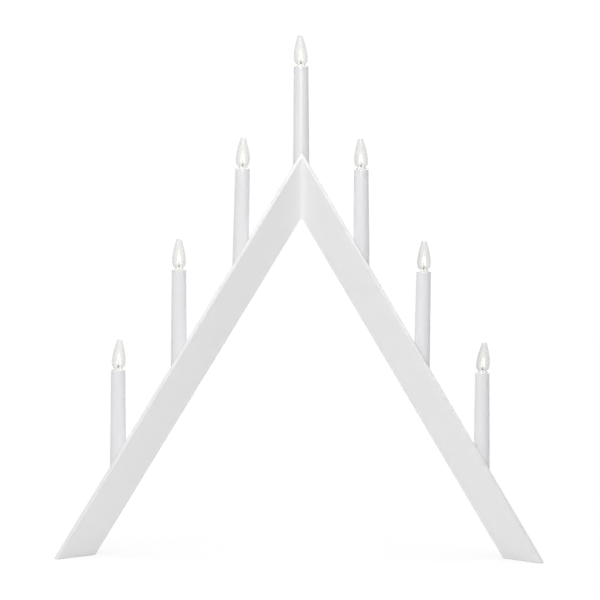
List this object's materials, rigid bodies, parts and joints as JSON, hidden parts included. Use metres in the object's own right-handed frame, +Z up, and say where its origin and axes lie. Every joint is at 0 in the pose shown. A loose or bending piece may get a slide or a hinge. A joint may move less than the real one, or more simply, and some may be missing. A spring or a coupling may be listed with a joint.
{
  "type": "electric window candlestick",
  "caption": "Window candlestick of painted wooden arms mitred into a steep peak, with tall candle tubes that hold small screw-in flame-shaped lamps.",
  "frame": {"origin": "on the floor under the peak, halfway through the depth and midway between the feet", "axes": "+Z up, +X to the right seen from the front, the sloping front faces look towards -Y"},
  "size_m": [0.5856, 0.036, 0.6333],
  "materials": {
    "painted_wood": "smooth white satin paint",
    "raw_wood": "bare",
    "cover_board": "painted fibreboard",
    "tube_plastic": "smooth white",
    "holder_plastic": "moulded white",
    "brass": "bright rolled sheet",
    "solder": "dull solder",
    "lamp_glass": "clear, thin",
    "filament": "clear stem and glowing wire",
    "lead_sleeve": "flexible sleeve",
    "grommet_rubber": "soft, matt"
  },
  "bodies": {
    "stand": {"left_arm": "painted_wood", "right_arm": "painted_wood", "left_back_cover": "cover_board", "right_back_cover": "cover_board", "mitre_dowel_upper": "raw_wood", "mitre_dowel_lower": "raw_wood", "cord_grommet": "grommet_rubber", "wiring": "lead_sleeve", "candle_tube_1": "tube_plastic", "lamp_holder_1": "holder_plastic", "socket_shell_1": "brass", "candle_tube_2": "tube_plastic", "lamp_holder_2": "holder_plastic", "socket_shell_2": "brass", "candle_tube_3": "tube_plastic", "lamp_holder_3": "holder_plastic", "socket_shell_3": "brass", "candle_tube_4": "tube_plastic", "lamp_holder_4": "holder_plastic", "socket_shell_4": "brass", "candle_tube_5": "tube_plastic", "lamp_holder_5": "holder_plastic", "socket_shell_5": "brass", "candle_tube_6": "tube_plastic", "lamp_holder_6": "holder_plastic", "socket_shell_6": "brass", "candle_tube_7": "tube_plastic", "lamp_holder_7": "holder_plastic", "socket_shell_7": "brass"},
    "lamp_1_tip": {"lamp_tip_1": "solder"},
    "lamp_1": {"lamp_cap_1": "brass", "lamp_glass_1": "lamp_glass", "lamp_filament_1": "filament"},
    "lamp_2_tip": {"lamp_tip_2": "solder"},
    "lamp_2": {"lamp_cap_2": "brass", "lamp_glass_2": "lamp_glass", "lamp_filament_2": "filament"},
    "lamp_3_tip": {"lamp_tip_3": "solder"},
    "lamp_3": {"lamp_cap_3": "brass", "lamp_glass_3": "lamp_glass", "lamp_filament_3": "filament"},
    "lamp_4_tip": {"lamp_tip_4": "solder"},
    "lamp_4": {"lamp_cap_4": "brass", "lamp_glass_4": "lamp_glass", "lamp_filament_4": "filament"},
    "lamp_5_tip": {"lamp_tip_5": "solder"},
    "lamp_5": {"lamp_cap_5": "brass", "lamp_glass_5": "lamp_glass", "lamp_filament_5": "filament"},
    "lamp_6_tip": {"lamp_tip_6": "solder"},
    "lamp_6": {"lamp_cap_6": "brass", "lamp_glass_6": "lamp_glass", "lamp_filament_6": "filament"},
    "lamp_7_tip": {"lamp_tip_7": "solder"},
    "lamp_7": {"lamp_cap_7": "brass", "lamp_glass_7": "lamp_glass", "lamp_filament_7": "filament"}
  },
  "joints": [
    {"name": "lamp_1_lift", "type": "slide", "parent": "stand", "child": "lamp_1_tip", "axis": [0.0017, 0, 1], "range_m": [0, 0.0073]},
    {"name": "lamp_1_turn", "type": "hinge", "parent": "lamp_1_tip", "child": "lamp_1", "pos_m": [-0.21641, 0.003, 0.2292], "axis": [0.0017, 0, 1], "range_deg": [0, 1440]},
    {"name": "lamp_2_lift", "type": "slide", "parent": "stand", "child": "lamp_2_tip", "axis": [0, 0, 1], "range_m": [0, 0.0073]},
    {"name": "lamp_2_turn", "type": "hinge", "parent": "lamp_2_tip", "child": "lamp_2", "pos_m": [-0.1445, 0.003, 0.35177], "axis": [0, 0, 1], "range_deg": [0, 1440]},
    {"name": "lamp_3_lift", "type": "slide", "parent": "stand", "child": "lamp_3_tip", "axis": [0.0175, 0, 0.9998], "range_m": [0, 0.0073]},
    {"name": "lamp_3_turn", "type": "hinge", "parent": "lamp_3_tip", "child": "lamp_3", "pos_m": [-0.06975, 0.003, 0.47433], "axis": [0.0175, 0, 0.9998], "range_deg": [0, 1440]},
    {"name": "lamp_4_lift", "type": "slide", "parent": "stand", "child": "lamp_4_tip", "axis": [-0.007, 0, 1], "range_m": [0, 0.0073]},
    {"name": "lamp_4_turn", "type": "hinge", "parent": "lamp_4_tip", "child": "lamp_4", "pos_m": [-0.00154, 0.003, 0.59691], "axis": [-0.007, 0, 1], "range_deg": [0, 1440]},
    {"name": "lamp_5_lift", "type": "slide", "parent": "stand", "child": "lamp_5_tip", "axis": [-0.0105, 0, 0.9999], "range_m": [0, 0.0073]},
    {"name": "lamp_5_turn", "type": "hinge", "parent": "lamp_5_tip", "child": "lamp_5", "pos_m": [0.07009, 0.003, 0.47434], "axis": [-0.0105, 0, 0.9999], "range_deg": [0, 1440]},
    {"name": "lamp_6_lift", "type": "slide", "parent": "stand", "child": "lamp_6_tip", "axis": [0.0087, 0, 1], "range_m": [0, 0.0073]},
    {"name": "lamp_6_turn", "type": "hinge", "parent": "lamp_6_tip", "child": "lamp_6", "pos_m": [0.14502, 0.003, 0.35177], "axis": [0.0087, 0, 1], "range_deg": [0, 1440]},
    {"name": "lamp_7_lift", "type": "slide", "parent": "stand", "child": "lamp_7_tip", "axis": [-0.007, 0, 1], "range_m": [0, 0.0073]},
    {"name": "lamp_7_turn", "type": "hinge", "parent": "lamp_7_tip", "child": "lamp_7", "pos_m": [0.21586, 0.003, 0.2292], "axis": [-0.007, 0, 1], "range_deg": [0, 1440]}
  ],
  "couplings": [
    {"joint": "lamp_1_lift", "follows": "lamp_1_turn", "m_per_rad": 0.00028871},
    {"joint": "lamp_2_lift", "follows": "lamp_2_turn", "m_per_rad": 0.00028871},
    {"joint": "lamp_3_lift", "follows": "lamp_3_turn", "m_per_rad": 0.00028871},
    {"joint": "lamp_4_lift", "follows": "lamp_4_turn", "m_per_rad": 0.00028871},
    {"joint": "lamp_5_lift", "follows": "lamp_5_turn", "m_per_rad": 0.00028871},
    {"joint": "lamp_6_lift", "follows": "lamp_6_turn", "m_per_rad": 0.00028871},
    {"joint": "lamp_7_lift", "follows": "lamp_7_turn", "m_per_rad": 0.00028871}
  ]
}
